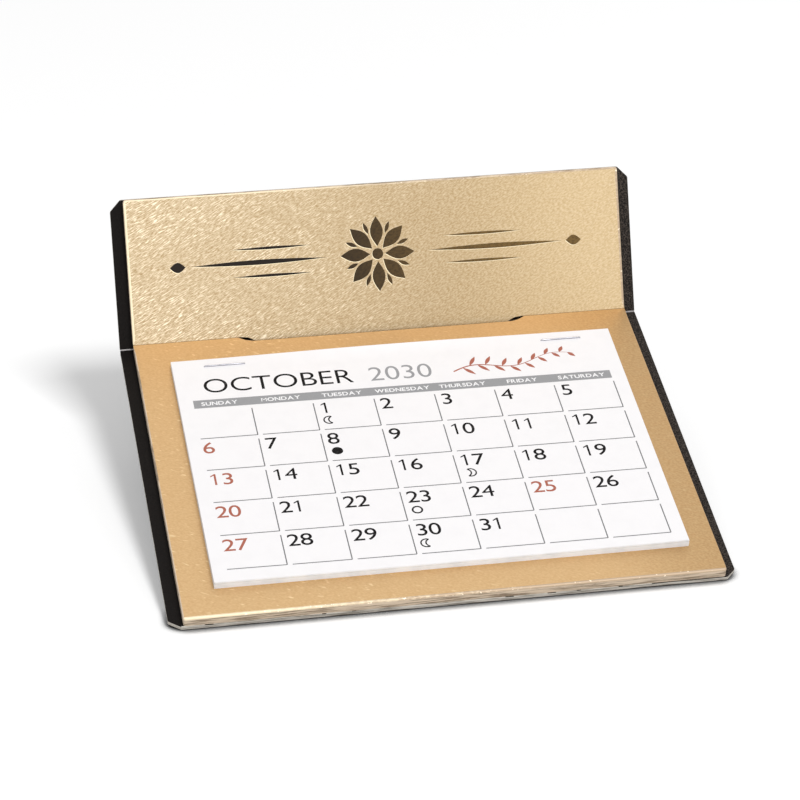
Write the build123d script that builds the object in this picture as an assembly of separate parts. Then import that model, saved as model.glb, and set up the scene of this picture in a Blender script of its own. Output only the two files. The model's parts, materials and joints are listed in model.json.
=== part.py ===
from build123d import *
import os
from math import cos, radians, sin, tan

# A desk calendar that folds flat: a gold header and a gold platform on one creased black board, with a riser
# flap that stays in line with the header and props the platform up, and a stapled pad of month sheets.
# Lengths in millimetres, angles in degrees. X runs along the width, Y to the rear and Z up.

# Set-up angles above the desk
platform_slope = 13.9
header_slope = 70.7
# What is left of the fold when the calendar is laid flat
flat_fold_left = 0.5

# Gold faces: chipboard cores with a foil sheet on top
face_width = 154.0
platform_face_depth = 122.3
header_face_height = 44.2
core_thickness = 2.6
foil_thickness = 0.1
face_edge_clearance = 0.04

# Black board behind both faces
border_width = 3.9
backing_thickness = 1.8
# Cut-off corners: how far each cut runs down the side, and how far outside the gold face it starts
header_corner_height = 3.4
header_corner_outset = 0.6
platform_corner_depth = 2.75
platform_corner_outset = 0.45
# Depth worn off the front lower edge where it stands on the desk
front_wear = 0.2

# Tongue of the header face between the notches, and the riser flap below it
tongue_side_margin = 37.5
tongue_flare = 4.4
tongue_drop = 1.35
tongue_clearance = 1.0
window_clearance = 0.4

# Month pad
sheet_count = 13
sheet_thickness = 0.13
sheet_gap = 0.03
# Gold left showing around the pad, which sits a little to the right
pad_front_margin = 11.0
pad_rear_margin = 12.1
pad_side_margin = 9.2
pad_shift = 0.8
# Crease of the second sheet below the pad's rear edge, and how far each lower sheet's crease steps forward
crease_from_rear = 6.0
crease_step = 0.28
# The front sheet bends on the second sheet: its leaf starts ahead of that crease and its strip ends behind it
front_leaf_lead = 0.2
front_strip_lag = 0.05

# Staples
staple_crown = 12.7
staple_wire = 0.5
staple_bend = 0.45
staple_from_rear = 3.5
staple_tip = 4.6
# How far each staple's middle lies out from the riser window's side towards the pad's side
staple_out_share = 0.432
staple_clearance = 0.06
# How far every cutting tool runs past the solid that it cuts
cut_overrun = 5.0

face_thickness = core_thickness + foil_thickness
fold = header_slope - platform_slope
# Both faces stop short of the crease by this, so that their front edges just meet when the calendar stands
set_back = face_thickness * tan(radians(fold / 2)) + face_edge_clearance
platform_depth = platform_face_depth + set_back
header_height = header_face_height + set_back
backing_width = face_width + 2 * border_width
tongue_width = face_width - 2 * tongue_side_margin
window_half_width = tongue_width / 2 + window_clearance
sheet_width = face_width - 2 * pad_side_margin
sheet_depth = platform_face_depth - pad_front_margin - pad_rear_margin

# The crease, on the black board's front surface, with the part centred over its footprint
crease_height = (platform_depth * sin(radians(platform_slope))
                 + backing_thickness * cos(radians(platform_slope)) - front_wear)
front_reach = platform_depth * cos(radians(platform_slope)) + face_thickness * sin(radians(platform_slope))
rear_reach = header_height * cos(radians(header_slope)) + backing_thickness * sin(radians(header_slope))
crease_y = (front_reach - rear_reach) / 2
riser_length = crease_height / sin(radians(header_slope))


def crease_plane(slope):
    """Plane through the crease: X along it, Y up the slope, Z out of the front face."""
    normal = (0, -sin(radians(slope)), cos(radians(slope)))
    return Plane(origin=(0, crease_y, crease_height), x_dir=(1, 0, 0), z_dir=normal)


platform_plane = crease_plane(platform_slope)
header_plane = crease_plane(header_slope)

# Places on the platform, measured along its slope from the crease
pad_front = pad_front_margin - platform_depth
pad_rear = pad_front + sheet_depth
sheet_pitch = sheet_thickness + sheet_gap
pad_top = face_thickness + sheet_count * sheet_pitch
staple_line = pad_rear - staple_from_rear
staple_side = window_half_width + staple_out_share * (sheet_width / 2 - window_half_width)
leg_spacing = staple_crown - staple_wire
tongue_edge = set_back - tongue_drop
tongue_reach = tongue_edge * cos(radians(fold)) - face_thickness * sin(radians(fold))
recess_edge = tongue_reach - tongue_clearance


def board(plane, outline, low, thickness):
    """Flat board of the given outline, from a level above the crease plane."""
    face = make_face(Polyline(*outline, close=True))
    return extrude(plane.offset(low) * face, thickness)


def mirrored(right_side):
    """Closed outline from the points of its right half."""
    return right_side + [(-x, y) for x, y in reversed(right_side)]


def above_desk(solid):
    """The solid, trimmed flat where it stands on the desk."""
    reach = 2 * (platform_depth + header_height) + cut_overrun
    keep = Box(reach, reach, reach, align=(Align.CENTER, Align.CENTER, Align.MIN))
    return solid & keep


def staple_places():
    """Centres of the two staples along the pad's width."""
    return {"left": pad_shift - staple_side, "right": pad_shift + staple_side}


def staple_holes():
    """Round holes for all the staple legs, through boards and pad."""
    depth = backing_thickness + pad_top + 2 * cut_overrun
    low = platform_plane.offset(-backing_thickness - cut_overrun)
    holes = []
    for centre in staple_places().values():
        for side in (-1, 1):
            place = Pos(centre + side * leg_spacing / 2, staple_line)
            holes.append(extrude(low * place * Circle(staple_wire / 2 + staple_clearance), depth))
    return holes


def face_sheet(plane, outline, holes):
    """Core and foil of one gold face, on the black board."""
    core = board(plane, outline, 0, core_thickness)
    foil = board(plane, outline, core_thickness, foil_thickness)
    return [layer - holes if holes else layer for layer in (core, foil)]


def header_face():
    """Header face, with the tongue that runs down over the riser."""
    outline = mirrored([
        (tongue_width / 2, tongue_edge),
        (tongue_width / 2 + tongue_flare, set_back),
        (face_width / 2, set_back),
        (face_width / 2, header_height),
    ])
    return face_sheet(header_plane, outline, [])


def platform_face():
    """Platform face, with the recess that the header's tongue drops into."""
    outline = mirrored([
        (face_width / 2, -platform_depth),
        (face_width / 2, -set_back),
        (tongue_width / 2 + tongue_flare + tongue_clearance, -set_back),
        (tongue_width / 2 + tongue_clearance, recess_edge),
    ])
    return face_sheet(platform_plane, outline, staple_holes())


def header_backing():
    """Black board behind the header, in one piece with the riser that stands on the desk."""
    outline = mirrored([
        (tongue_width / 2, -riser_length - cut_overrun),
        (tongue_width / 2, 0),
        (backing_width / 2, 0),
        (backing_width / 2, header_height - header_corner_height),
        (face_width / 2 + header_corner_outset, header_height),
    ])
    return above_desk(board(header_plane, outline, -backing_thickness, backing_thickness))


def platform_backing():
    """Black board under the platform, with the window that the riser was cut from."""
    outline = mirrored([
        (face_width / 2 + platform_corner_outset, -platform_depth),
        (backing_width / 2, platform_corner_depth - platform_depth),
        (backing_width / 2, 0),
        (window_half_width, 0),
        (window_half_width, -riser_length - window_clearance),
    ])
    return above_desk(board(platform_plane, outline, -backing_thickness, backing_thickness) - staple_holes())


def crease_of(number):
    """Place of a sheet's crease, stepping forward from the second sheet down."""
    return pad_rear - crease_from_rear - (number - 2) * crease_step


def sheet_level(number):
    """Level of a sheet's underside, sheet 1 on top."""
    return pad_top - number * sheet_pitch + sheet_gap


def sheet_piece(number, front, rear):
    """Part of one sheet between two places along the platform."""
    outline = [
        (pad_shift - sheet_width / 2, front),
        (pad_shift + sheet_width / 2, front),
        (pad_shift + sheet_width / 2, rear),
        (pad_shift - sheet_width / 2, rear),
    ]
    return board(platform_plane, outline, sheet_level(number), sheet_thickness)


def sheet_leaf(number):
    """The part of a sheet that lifts."""
    rear = crease_of(number)
    if number == 1:
        rear = crease_of(2) - front_leaf_lead
    return sheet_piece(number, pad_front, rear)


def sheet_strip(number):
    """The part of a sheet that the staples hold."""
    front = crease_of(number)
    if number == 1:
        front = crease_of(2) + front_strip_lag
    return sheet_piece(number, front, pad_rear) - staple_holes()


def staple(centre):
    """Wire staple: crown on the pad, legs through the boards, tips clinched inwards below."""
    crown_level = pad_top + staple_wire / 2
    tip_level = -backing_thickness - staple_wire / 2
    leg = leg_spacing / 2
    path = FilletPolyline(
        (leg - staple_tip, tip_level),
        (leg, tip_level),
        (leg, crown_level),
        (-leg, crown_level),
        (-leg, tip_level),
        (staple_tip - leg, tip_level),
        radius=staple_bend,
    )
    across = Plane(
        origin=platform_plane.from_local_coords((centre, staple_line, 0)),
        x_dir=platform_plane.x_dir,
        z_dir=-platform_plane.y_dir,
    )
    wire = across * path
    start = Plane(origin=wire @ 0, z_dir=wire % 0)
    return sweep(start * Circle(staple_wire / 2), path=wire)


def write_part(name, shape):
    """Save one named piece."""
    shape.label = name
    export_step(shape, f"parts/{name}.step")


def main():
    os.makedirs("parts", exist_ok=True)
    for name, layers in (("header", header_face()), ("platform", platform_face())):
        for layer, solid in zip(("core", "foil"), layers):
            write_part(f"{name}_{layer}", solid)
    write_part("header_backing", header_backing())
    write_part("platform_backing", platform_backing())
    numbers = range(1, sheet_count + 1)
    write_part("pad_bound_edge", Compound(children=[sheet_strip(number) for number in numbers]))
    for number in numbers:
        write_part(f"sheet_{number:02d}", sheet_leaf(number))
    for side, centre in staple_places().items():
        write_part(f"staple_{side}", staple(centre))


main()
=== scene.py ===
import calendar
import json
import math
from typing import NamedTuple

import bpy
import numpy as np
from bpy.props import FloatProperty, FloatVectorProperty, IntProperty, PointerProperty
from mathutils import Color, Matrix, Vector, noise
from mathutils.geometry import delaunay_2d_cdt


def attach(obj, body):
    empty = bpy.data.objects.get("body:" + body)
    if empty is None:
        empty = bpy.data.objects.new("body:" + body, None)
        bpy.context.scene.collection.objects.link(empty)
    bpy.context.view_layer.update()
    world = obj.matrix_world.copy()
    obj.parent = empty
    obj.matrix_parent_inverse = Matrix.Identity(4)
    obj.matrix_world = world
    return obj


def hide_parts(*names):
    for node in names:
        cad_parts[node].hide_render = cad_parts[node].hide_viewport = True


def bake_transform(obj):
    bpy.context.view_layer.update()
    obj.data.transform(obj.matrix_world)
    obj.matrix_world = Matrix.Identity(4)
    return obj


bl_info = {
    "name": "Desk calendar",
    "version": (1, 0, 0),
    "blender": (4, 5, 0),
    "location": "View3D > Sidebar > Calendar",
    "description": "Dresses a folding desk calendar: gold and black boards, month sheets, print and staples",
    "category": "Object",
}

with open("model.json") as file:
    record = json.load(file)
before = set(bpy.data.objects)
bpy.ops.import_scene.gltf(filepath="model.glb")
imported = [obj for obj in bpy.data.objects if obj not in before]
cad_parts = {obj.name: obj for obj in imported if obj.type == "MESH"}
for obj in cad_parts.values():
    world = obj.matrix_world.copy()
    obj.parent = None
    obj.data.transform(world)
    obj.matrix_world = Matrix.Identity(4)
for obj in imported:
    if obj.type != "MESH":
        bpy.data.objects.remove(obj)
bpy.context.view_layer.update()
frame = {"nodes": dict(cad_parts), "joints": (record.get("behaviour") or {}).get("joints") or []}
MM = 0.001
# What counts as one place: within this distance, or alike in this many digits of a metre
NEAR = 0.1 * MM
PLACE_DIGITS = 6
SHEETS = [name for name in sorted(frame["nodes"]) if name.startswith("sheet_")]


# What the frame says about the boards and the pad

def joint(name):
    """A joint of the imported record, by its name."""
    return next(row for row in frame["joints"] if row["name"] == name)


CREASE = Vector(joint("easel_fold")["pos_m"])


def board_axes(foil):
    """Axes at the crease for one gold face: X along the crease, Y up the slope, Z out of the face."""
    face = max(frame["nodes"][foil].data.polygons, key=lambda polygon: polygon.area)
    normal = face.normal if face.normal.z > 0 else -face.normal
    return Matrix.Translation(CREASE) @ Matrix.Rotation(math.atan2(-normal.y, normal.z), 4, "X")


PLATFORM = board_axes("platform_foil")
HEADER = board_axes("header_foil")


def corners_of(node, axes):
    """A node's vertices in a board's axes."""
    to_board = axes.inverted()
    return np.array([to_board @ vertex.co for vertex in frame["nodes"][node].data.vertices])


def span_of(node, axes):
    """Lowest and highest corner of a node in a board's axes."""
    corners = corners_of(node, axes)
    return Vector(corners.min(axis=0)), Vector(corners.max(axis=0))


def right_half(node, axes):
    """Outline corners of a flat node's right half, from the lowest round to the highest."""
    places = [(x, y) for x, y, _ in corners_of(node, axes).round(PLACE_DIGITS) if x > 0]
    return sorted(set(places), key=lambda corner: (corner[1], corner[0]))


def paint(code):
    """Linear colour of a hex code."""
    return Color([level / 255 for level in bytes.fromhex(code[1:])]).from_srgb_to_scene_linear()


def length(name, description, millimetres):
    """Property for a length, given in millimetres."""
    return FloatProperty(name=name, description=description, default=millimetres * MM, unit="LENGTH",
                         precision=5)


def position(name, description, millimetres):
    """Property for a place in the shared frame, given in millimetres."""
    metres = [side * MM for side in millimetres]
    return FloatVectorProperty(name=name, description=description, default=metres, subtype="TRANSLATION")


def angle(name, description, degrees):
    """Property for an angle, given in degrees."""
    return FloatProperty(name=name, description=description, default=math.radians(degrees), subtype="ANGLE")


def share(name, description, value):
    """Property for a share between nothing and all."""
    return FloatProperty(name=name, description=description, default=value, subtype="FACTOR", min=0, max=1)


def plain(name, description, value):
    """Property for a plain number, such as a widening."""
    return FloatProperty(name=name, description=description, default=value)


def power(name, description, watts):
    """Property for a lamp's power."""
    return FloatProperty(name=name, description=description, default=watts, unit="POWER")


def whole(name, description, number, least=0, most=9999):
    """Property for a whole number."""
    return IntProperty(name=name, description=description, default=number, min=least, max=most)


def colour(name, description, code):
    """Property for a colour, given as a hex code."""
    return FloatVectorProperty(name=name, description=description, default=paint(code), subtype="COLOR",
                               size=3, min=0, max=1)


class BoardSizes(bpy.types.PropertyGroup):
    """Sizes of the gold and black boards."""
    front_roll: length("Front roll", "Width of the pressed edge along the platform's front", 0.8)
    side_roll: length("Side roll", "Width of the pressed edge along the other outer edges", 0.34)
    top_roll: length("Top roll", "Width of the pressed edge along the header's top", 0.24)
    # A line of painted highlight inside the header's pressed edge
    edge_rub: length("Edge rub", "Width of the rubbed line inside the header's pressed edge", 0.36)
    fold_roll: length("Fold roll", "Width of the pressed edge where the gold faces meet", 0.02)
    fold_zone: length("Fold zone", "How far from the fold the pressed edge stays narrow", 2.2)
    roll_steepness: share("Roll steepness", "Height of the pressed edge over its width", 0.7)
    front_radius: length("Front radius", "Rounding of the platform's front corners", 0.9)
    top_radius: length("Top radius", "Rounding of the header's top corners", 1.0)
    fold_radius: length("Fold radius", "Rounding of the gold boards' corners by the fold", 0.2)
    glue_gap: length("Glue gap", "Open joint between a gold board and the black board", 0.08)
    edge_wear: length("Edge wear", "Raggedness of the cut chipboard edges", 0.16)
    edge_hollow: length("Edge hollow", "How far the middle of a board's cut edge stands back", 0.03)
    low_wear: share("Low wear", "Raggedness of a gold board's edge by the glue joint, over the most", 0.6)
    middle_wear: share("Middle wear", "Raggedness half-way up a gold board's edge, over the most", 0.5)
    black_wear: share("Black wear", "Raggedness of the black board's edge, over the most", 0.3)
    wear_grain: length("Wear grain", "Distance over which the raggedness changes", 3.0)
    edge_step: length("Edge step", "Spacing of the points along a board's edge", 1.2)
    fill_spacing: length("Fill spacing", "Spacing of the points inside a board's faces", 7.0)
    notch_room: length("Notch room", "Room worn below the header's tongue", 0.45)
    notch_hollow: length("Notch hollow", "How far the slanted edges of the notches are worn hollow", 0.38)
    skin_thickness: length("Skin thickness", "Black paper on either side of the black board", 0.24)
    skin_radius: length("Skin radius", "Rounding of the black board's edges", 0.1)
    # The foot's black paper is taller than the skin, so that it also paints the dark line of shade along the
    # desk
    foot_height: length("Foot height", "Height of the scuffed lower edge of the black board", 0.55)
    foot_inset: length("Foot inset", "How far the scuffed lower edge stands back", 0.25)
    foot_bend_inset: share("Foot bend inset", "Part of the foot's inset that is left at its bend", 0.5)
    foot_bend_rise: share("Foot bend rise", "Height of the foot's bend over the foot's height", 0.7)
    skin_grain: length("Skin grain", "Length of the stretches of worn paper along the front edge", 4.0)
    skin_worn: share("Skin worn", "Unevenness below which the paper is worn off the front edge", 0.68)
    skin_kept: share("Skin kept", "Place, from the middle to the right, from which the paper is whole", 0.7)
    border_taper: length("Border taper", "How much narrower the right border is at the front", 0.7)
    black_corner_radius: length("Black corner radius", "Rounding of the black board's corners", 0.4)
    # How many lighter specks show in the black paper's grain at the left and at the right
    rub_left: share("Rub left", "How rubbed the black paper's grain is at the left", 0.04)
    rub_right: share("Rub right", "How rubbed the black paper's grain is at the right", 0.95)
    riser_overrun: length("Riser overrun", "How far the riser runs past the desk before it is trimmed", 1.0)
    window_clearance: length("Window clearance", "Room past the riser's foot in its window", 0.4)
    slot_width: length("Slot width", "Width of the cut on either side of the riser", 0.1)
    crease_reach: length("Crease reach", "How far the scuffed crease runs up each board", 0.24)
    crease_skin: length("Crease skin", "Thickness of the scuffed skin in the crease", 0.12)
    crease_rise: share("Crease rise", "Part of the scuffed skin in front of the boards' faces", 0.3)


class PadSizes(bpy.types.PropertyGroup):
    """Sizes and bends of the month sheets."""
    bend_length: length("Bend length", "How far from its crease a lifted sheet goes on bending", 3.0)
    strip_bend: length("Strip bend", "How far the top sheet's bound strip bends past the crease", 0.8)
    front_right_lift: length("Front right lift", "Curl of the top sheet at the front right corner", 0.3)
    front_left_lift: length("Front left lift", "Curl of the top sheet at the front left corner", 0.25)
    rear_lift: length("Rear lift", "Bulge of the top sheet's rear edge between the staples", 0.6)
    trim_scatter: length("Trim scatter", "How far the sheets' cut edges stray", 0.06)
    columns: whole("Columns", "Mesh columns across a sheet", 36, 2)
    rows: whole("Rows", "Mesh rows down a sheet's leaf", 26, 2)
    bend_rows: whole("Bend rows", "Mesh rows over a sheet's bend", 9, 2)
    strip_rows: whole("Strip rows", "Mesh rows over a sheet's bound strip", 5, 2)
    seed: whole("Seed", "Start of the scatter of the cut edges", 7)


class PrintSizes(bpy.types.PropertyGroup):
    """Layout of a month page, from the pad's left and rear edges."""
    printed_sheets: whole("Printed sheets", "How many sheets carry print", 2)
    first_year: whole("First year", "Year on the front sheet", 2030)
    first_month: whole("First month", "Month on the front sheet", 10, 1, 12)
    marked_day: whole("Marked day", "Weekday date in red on the front sheet", 25)
    ink_thickness: length("Ink thickness", "Thickness of one layer of printed ink", 0.006)
    skew: angle("Skew", "Drop of the printed lines to the right", 0.46)
    title_left: length("Title left", "Left end of the month's name", 8.3)
    title_base: length("Title base", "Baseline of the month's name", 16.0)
    title_height: length("Title height", "Height of the month's capitals", 6.4)
    title_gap: length("Title gap", "Least room between month and year", 4.0)
    title_stretch: plain("Title stretch", "Widening of the month and year", 1.05)
    title_weight: plain("Title weight", "Boldness of the month and year", -0.004)
    year_left: length("Year left", "Left end of the year beside a short month", 58.4)
    band_top: length("Band top", "Upper edge of the weekday band", 19.2)
    band_height: length("Band height", "Height of the weekday band", 3.75)
    band_left: length("Band left", "Left end of the weekday band", 4.25)
    weekday_height: length("Weekday height", "Height of the weekdays' capitals", 1.55)
    weekday_stretch: plain("Weekday stretch", "Widening of the weekdays", 1.12)
    weekday_weight: plain("Weekday weight", "Boldness of the weekdays", 0.024)
    column_width: length("Column width", "Width of one day's cell", 18.35)
    column_start: length("Column start", "Left limit of the first column", 2.75)
    cell_gap: length("Cell gap", "Opening left in a cell's rules at each corner", 1.5)
    row_start: length("Row start", "Upper limit of the first week", 22.7)
    row_height: length("Row height", "Height of one week's cells", 14.3)
    week_rows: whole("Week rows", "Rows of cells on a page", 5, 1)
    sixth_week_drop: plain("Sixth week drop", "Drop of a sixth week's dates over their height", 2.2)
    rule_gap: length("Rule gap", "Room above a cell's upright rule", 1.8)
    rule_width: length("Rule width", "Width of the cell rules", 0.34)
    date_height: length("Date height", "Height of the date numbers", 4.85)
    date_drop: length("Date drop", "Room above the date numbers", 1.9)
    date_indent: length("Date indent", "Start of the date numbers in the cell", 0.12)
    date_stretch: plain("Date stretch", "Widening of the date numbers", 1.1)
    date_weight: plain("Date weight", "Boldness of the date numbers", 0.004)
    moon_radius: length("Moon radius", "Radius of the moon signs", 1.65)
    moon_drop: length("Moon drop", "Middle of the moon signs below the row's upper limit", 10.0)
    moon_indent: length("Moon indent", "Middle of the moon signs from the start of the cell", 2.0)
    moon_line: length("Moon line", "Line width of the moon signs", 0.55)
    crescent_line: share("Crescent line", "Line width of the crescents over that of the full moon", 0.8)
    crescent_tip: angle("Crescent tip", "Turn from a crescent's open side to its tips", 62)
    crescent_inner: share("Crescent inner", "Radius of a crescent's inner line over its outer one", 0.95)
    sprig_left: length("Sprig left", "Left end of the printed sprig", 84.0)
    sprig_right: length("Sprig right", "Right end of the printed sprig", 122.0)
    sprig_foot: length("Sprig foot", "Place of the sprig's foot below the pad's rear edge", 14.5)
    sprig_head: length("Sprig head", "Place of the sprig's tip below the pad's rear edge", 9.5)
    sprig_wave: length("Sprig wave", "Sway of the sprig's stem", 1.6)
    sprig_line: length("Sprig line", "Line width of the sprig's stem", 0.4)
    sprig_half_waves: whole("Sprig half waves", "Bends of the sprig's stem", 3)
    stem_foot: plain("Stem foot", "Line width at the stem's foot over the sprig's line width", 1.3)
    sprig_leaf: length("Sprig leaf", "Length of the sprig's leaves", 3.6)
    leaf_lean: share("Leaf lean", "How far a leaf reaches ahead, over how far it reaches aside", 0.75)
    leaf_first: plain("Leaf first", "Reach of a leaf at the sprig's foot, over the leaves' length", 1.15)
    leaf_fade: share("Leaf fade", "How much of that reach is lost up to the sprig's tip", 0.5)
    leaf_width: share("Leaf width", "Width of a leaf over the leaves' length", 0.34)


class StampSizes(bpy.types.PropertyGroup):
    """Sizes of the plain ornament stamped into the header."""
    thickness: length("Thickness", "Thickness of the stamped film", 0.03)
    # The rim is a painted highlight: a lighter copy of the film, shifted left and down beside it
    rim: length("Rim", "Width of the bright rim pressed up beside the film", 0.16)
    rise: length("Rise", "Height of the ornament's middle above the crease", 24.0)
    rim_height: share("Rim height", "Height of the bright rim over the film's thickness", 0.75)
    # The film's turn from dark at the left to gold at the right is a painted reflection
    gold_left: plain("Gold left", "Share of gold in the film's colour at the left", -0.35)
    gold_right: plain("Gold right", "Share of gold in the film's colour at the right", 1.1)
    rosette_radius: length("Rosette radius", "Outer radius of the middle rosette", 11.5)
    rosette_eye: length("Rosette eye", "Radius of the rosette's middle", 1.7)
    petals: whole("Petals", "Number of petals", 8, 3)
    petal_width: length("Petal width", "Widest part of a petal", 4.0)
    petal_start: plain("Petal start", "Inner end of a petal over the radius of the rosette's middle", 1.4)
    drop_start: share("Drop start", "Inner end of the drops between petals over the rosette's radius", 0.58)
    drop_end: share("Drop end", "Outer end of the drops over the rosette's radius", 0.92)
    drop_width: share("Drop width", "Widest part of a drop over that of a petal", 0.3)
    rule_start: length("Rule start", "Inner end of the rules from the middle", 16.0)
    rule_end: length("Rule end", "Outer end of the rules from the middle", 58.0)
    rule_width: length("Rule width", "Widest part of the middle rule", 1.5)
    side_rule: length("Side rule", "Distance from the middle rule to the ones beside it", 4.2)
    side_rule_start: plain("Side rule start", "Inner end of the side rules over the middle rule's", 1.3)
    side_rule_end: share("Side rule end", "Outer end of the side rules over the middle rule's", 0.78)
    side_rule_width: share("Side rule width", "Widest part of the side rules over the middle rule's", 0.55)
    diamond: length("Diamond", "Half length of the diamonds", 2.4)
    diamond_gap: plain("Diamond gap", "Middle of a diamond past the rule's end, over its half length", 1.6)
    diamond_width: plain("Diamond width", "Widest part of a diamond over its half length", 1.3)


class StageSizes(bpy.types.PropertyGroup):
    """Camera, lamps and floor."""
    camera_place: position("Camera place", "Where the camera stands", (-149.76, -774.86, 404.49))
    camera_pitch: angle("Camera pitch", "How far the camera looks down", 25.286)
    camera_yaw: angle("Camera yaw", "How far the camera looks to the right", 10.666)
    camera_view: angle("Camera view", "Width of the camera's view", 15.341)
    key_place: position("Key place", "Where the main lamp hangs", (980, -2170, 3500))
    key_size: length("Key size", "Side of the main lamp", 1050.0)
    key_power: power("Key power", "Power of the main lamp", 108.0)
    fill_place: position("Fill place", "Where the side lamp hangs", (-400, -1800, 500))
    fill_size: length("Fill size", "Side of the side lamp", 700.0)
    fill_power: power("Fill power", "Power of the side lamp", 4.0)
    sky: plain("Sky", "Strength of the even light around", 0.46)
    floor_glow: plain("Floor glow", "Brightness that the camera adds to the floor", 0.2)
    floor_side: length("Floor side", "Side of the floor", 6000.0)
    contact_reach: length("Contact reach", "How far the shade reaches from what stands on the floor", 3.2)
    contact_dark: share("Contact dark", "Open room over the floor at which the shade is full", 0.45)
    contact_clear: share("Contact clear", "Open room over the floor at which the shade ends", 0.95)


class CalendarColours(bpy.types.PropertyGroup):
    """Colours of the finishes."""
    header_gold: colour("Header gold", "Foil of the header", "#A18861")
    # Painted reflection: the header's foil turns lighter towards its right end
    header_far: colour("Header far", "Foil of the header at its right end", "#BFA67D")
    header_light: colour("Header light", "Bright fibres in the header's foil", "#FFF1D6")
    header_dark: colour("Header dark", "Dark fibres in the header's foil", "#9C8058")
    platform_gold: colour("Platform gold", "Foil of the platform", "#D1AC7C")
    # Painted reflection: the platform's foil turns darker towards its right side
    platform_far: colour("Platform far", "Foil of the platform at its right side", "#B99567")
    platform_light: colour("Platform light", "Bright flecks in the platform's foil", "#FBE3B4")
    platform_dark: colour("Platform dark", "Dark fibres in the platform's foil", "#C49A68")
    # Painted highlight on the pressed foil edges, cream at the left and dimmer towards the right
    worn_gold: colour("Worn gold", "Pressed edge of the foil", "#F6E6C4")
    worn_dull: colour("Worn dull", "Pressed edge of the foil where it is dull", "#B8A186")
    chipboard: colour("Chipboard", "Cut edges of the gold boards", "#D6C2AA")
    chipboard_dark: colour("Chipboard dark", "Dark plies of the chipboard", "#83705A")
    board_core: colour("Board core", "Cut edges of the black board", "#CFC9BF")
    board_core_dark: colour("Board core dark", "Dark plies of the black board", "#7F776B")
    black: colour("Black", "Grained paper of the black board", "#100D0C")
    # Lighter specks in the black paper's grain, more of them towards the right
    black_worn: colour("Black worn", "Rubbed grain of the black board", "#544C46")
    scuff: colour("Scuff", "Broken paper in the crease", "#A8A4A4")
    paper: colour("Paper", "Month sheets", "#F4F2F3")
    paper_shade: colour("Paper shade", "Mottle of the month sheets", "#F2F0F1")
    # The cut edges are tinted blue: painted to cancel the warm light that the gold bounces onto them
    paper_edge: colour("Paper edge", "Cut edges of the month sheets", "#F0F7FF")
    paper_edge_shade: colour("Paper edge shade", "Mottle of the cut edges", "#E2EBF5")
    ink_black: colour("Black ink", "Dates and month", "#0C0B0C")
    ink_red: colour("Red ink", "Sundays, the marked date and the sprig", "#AE6856")
    ink_grey: colour("Grey ink", "Year and band", "#9C9C9E")
    ink_rule: colour("Rule ink", "Rules of the cells", "#747476")
    ink_white: colour("White print", "Weekdays on the band", "#F4F3F4")
    # Painted reflection: the stamped film turns from dark at the left to gold at the right
    stamp_dark: colour("Stamp dark", "Stamped film at the left", "#1E1712")
    stamp_gold: colour("Stamp gold", "Stamped film at the right", "#6E5630")
    # Painted highlight beside the stamped film
    stamp_rim: colour("Stamp rim", "Bright rim beside the stamped film", "#F4E4C0")
    steel: colour("Steel", "Staple wire", "#B4B4BA")
    steel_dark: colour("Steel dark", "Drawn marks in the staple wire", "#8A8A92")
    floor: colour("Floor", "Floor around the calendar", "#F2F2F2")
    # Painted contact shade on the floor beside the boards' feet
    contact: colour("Contact", "Floor right beside the boards' feet", "#747474")


def settings(group):
    """One of the scene's groups of sizes or colours."""
    return getattr(bpy.context.scene, "calendar_" + group)


# Materials

class Grain(NamedTuple):
    """Unevenness of a finish.

    Its grains have a size along X, Y and Z in millimetres, break up by some detail, start somewhere in the
    noise and are turned in the board. Noise from low to high is stretched to run from least to most. The
    relief is in millimetres, below zero where the grains sink in, and counts by its strength.
    """
    size: tuple
    detail: float = 2.0
    start: float = 0.0
    turn: float = 0.0
    low: float = 0.0
    high: float = 1.0
    least: float = 0.0
    most: float = 1.0
    relief: float = 0.0
    strength: float = 1.0


class Foil(NamedTuple):
    """Look of one board's brushed foil.

    Its fibres have a slant in degrees and a size in millimetres. Shares tell how much is bright fibres,
    fine hairs and pale sand, and the gain how bright the fibres are. The fibres are the foil's grain. Places
    run from the middle to the right edge: from the calm place on only the calm share of the fibres is left,
    which paints a sheen that is brighter at the left, and from the reflection place on the colour turns to
    the far one, a painted reflection that is lighter on the header and darker on the platform. The painted
    highlight on the pressed edge is dimmed by one amount at the left and another at the right.
    """
    slant: float
    stroke_length: float
    stroke_width: float
    fibre_share: float
    hair_share: float
    sand_share: float
    fibre_gain: float
    calm_place: float
    calm_share: float
    far_place: float
    dull_left: float
    dull_right: float


FOILS = {
    "header": Foil(slant=27, stroke_length=2.6, stroke_width=0.28, fibre_share=0.46, hair_share=0.32,
                   sand_share=0.22, fibre_gain=0.85, calm_place=0.6, calm_share=0.06, far_place=0.1,
                   dull_left=-0.2, dull_right=1.5),
    "platform": Foil(slant=-26, stroke_length=2.8, stroke_width=1.0, fibre_share=0.38, hair_share=0.05,
                     sand_share=0.17, fibre_gain=0.6, calm_place=1.0, calm_share=0.25, far_place=0.5,
                     dull_left=0.2, dull_right=2.4),
}
# How softly the bright fibres begin, and the size of the hairs over that of the fibres
FIBRE_SOFTNESS = 0.13
HAIR_SCALE = 0.6
FOIL_CLOUDS = Grain((24, 18, 24), start=7.3, low=0.35, high=0.6, least=0.4)
FOIL_SAND = Grain((0.85, 0.4, 0.85), detail=1, start=17.9, low=0.3, high=0.7)
# Flecks that break up the painted edge highlight, with a slight relief
HIGHLIGHT_FLECKS = Grain((1.6, 0.8, 0.8), detail=3, low=0.4, high=0.62, least=1.0, most=0.5, relief=0.08,
                    strength=0.5)
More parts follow.
